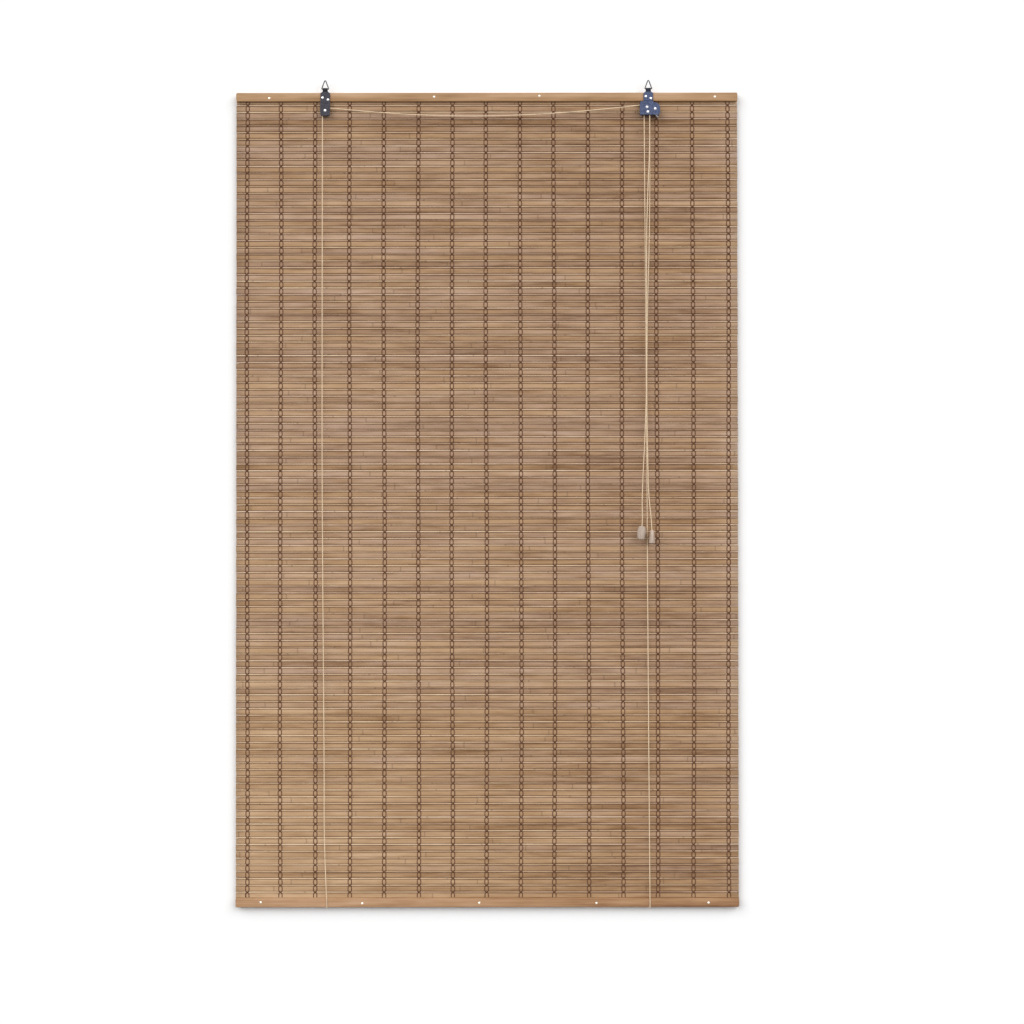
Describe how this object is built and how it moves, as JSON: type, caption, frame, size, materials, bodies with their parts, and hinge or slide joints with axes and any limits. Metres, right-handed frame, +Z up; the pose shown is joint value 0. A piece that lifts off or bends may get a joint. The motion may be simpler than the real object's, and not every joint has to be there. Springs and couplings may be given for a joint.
{
  "type": "bamboo roll up blind",
  "caption": "Roll up window blind: a mat of bamboo slats and sticks between two batten rails, raised by cords over sheaves in two hanging brackets, one with a cord lock.",
  "frame": {"origin": "middle of the headrail's back face, which lies against the wall", "axes": "+X to the right as seen from the front, +Y into the wall, +Z up; the front looks along -Y"},
  "size_m": [1, 0.0348, 1.6475],
  "materials": {
    "bamboo": "dull, split bamboo with light sticks and dark gaps",
    "thread": "matte dark brown thread",
    "batten": "satin bamboo, more yellow than the mat",
    "nail": "bright domed heads",
    "bracket": "dark blue-grey plated strap",
    "rivet": "bright domed heads",
    "ring": "grey drawn wire",
    "sheave": "moulded, off-white",
    "lock": "cast, dull",
    "cord": "twisted cream cord",
    "tassel": "pale turned wood"
  },
  "bodies": {
    "headrail": {"headrail_front_batten": "batten", "headrail_back_batten": "batten", "headrail_nails": "nail", "bamboo_mat": "bamboo", "warp_threads_front": "thread", "warp_threads_back": "thread", "left_bracket": "bracket", "left_bracket_rivets": "rivet", "left_axle": "rivet", "lock_bracket": "bracket", "lock_bracket_rivets": "rivet", "lock_sheave_axle": "rivet", "lock_post": "lock", "lock_post_axle": "rivet", "lock_cam_axle": "rivet", "left_lift_cord": "cord", "right_lift_cord": "cord", "left_back_cord": "cord", "right_back_cord": "cord", "cross_cord": "cord", "right_lock_cord": "cord", "left_pull_cord": "cord", "right_pull_cord": "cord"},
    "bottom_rail": {"bottom_rail_front_batten": "batten", "bottom_rail_back_batten": "batten", "bottom_rail_nails": "nail", "left_rail_loop": "cord", "right_rail_loop": "cord"},
    "left_ring": {"left_ring": "ring"},
    "right_ring": {"right_ring": "ring"},
    "left_sheave": {"left_sheave": "sheave"},
    "lock_front_sheave": {"lock_front_sheave": "sheave"},
    "lock_rear_sheave": {"lock_rear_sheave": "sheave"},
    "lock_cam": {"lock_cam": "lock"},
    "left_tassel": {"left_tassel": "tassel", "left_tassel_knot": "cord"},
    "right_tassel": {"right_tassel": "tassel", "right_tassel_knot": "cord"}
  },
  "joints": [
    {"name": "lift", "type": "slide", "parent": "headrail", "child": "bottom_rail", "axis": [0, 0, 1], "range_m": [0, 1.5], "deforming": ["bamboo_mat", "warp_threads_front", "warp_threads_back", "left_lift_cord", "right_lift_cord", "left_back_cord", "right_back_cord"]},
    {"name": "left_tassel_drop", "type": "slide", "parent": "headrail", "child": "left_tassel", "axis": [0, 0, -1], "range_m": [0, 3], "deforming": ["left_pull_cord"]},
    {"name": "right_tassel_drop", "type": "slide", "parent": "headrail", "child": "right_tassel", "axis": [0, 0, -1], "range_m": [0, 3], "deforming": ["right_pull_cord"]},
    {"name": "left_ring_swing", "type": "hinge", "parent": "headrail", "child": "left_ring", "pos_m": [-0.322, -0.01425, 0.0154], "axis": [1, 0, 0], "range_deg": [-90, 90]},
    {"name": "right_ring_swing", "type": "hinge", "parent": "headrail", "child": "right_ring", "pos_m": [0.322, -0.01425, 0.0154], "axis": [1, 0, 0], "range_deg": [-90, 90]},
    {"name": "left_sheave_turn", "type": "hinge", "parent": "headrail", "child": "left_sheave", "pos_m": [-0.322, -0.0151, -0.0276], "axis": [0, 1, 0], "continuous": true},
    {"name": "lock_front_sheave_turn", "type": "hinge", "parent": "headrail", "child": "lock_front_sheave", "pos_m": [0.319, -0.019, -0.0221], "axis": [0, 1, 0], "continuous": true},
    {"name": "lock_rear_sheave_turn", "type": "hinge", "parent": "headrail", "child": "lock_rear_sheave", "pos_m": [0.319, -0.0151, -0.0221], "axis": [0, 1, 0], "continuous": true},
    {"name": "lock_cam_release", "type": "hinge", "parent": "headrail", "child": "lock_cam", "pos_m": [0.3352, -0.01705, -0.0255], "axis": [0, -1, 0], "range_deg": [0, 40]}
  ],
  "couplings": [
    {"joint": "left_tassel_drop", "follows": "lift", "ratio": 2},
    {"joint": "right_tassel_drop", "follows": "lift", "ratio": 2}
  ]
}
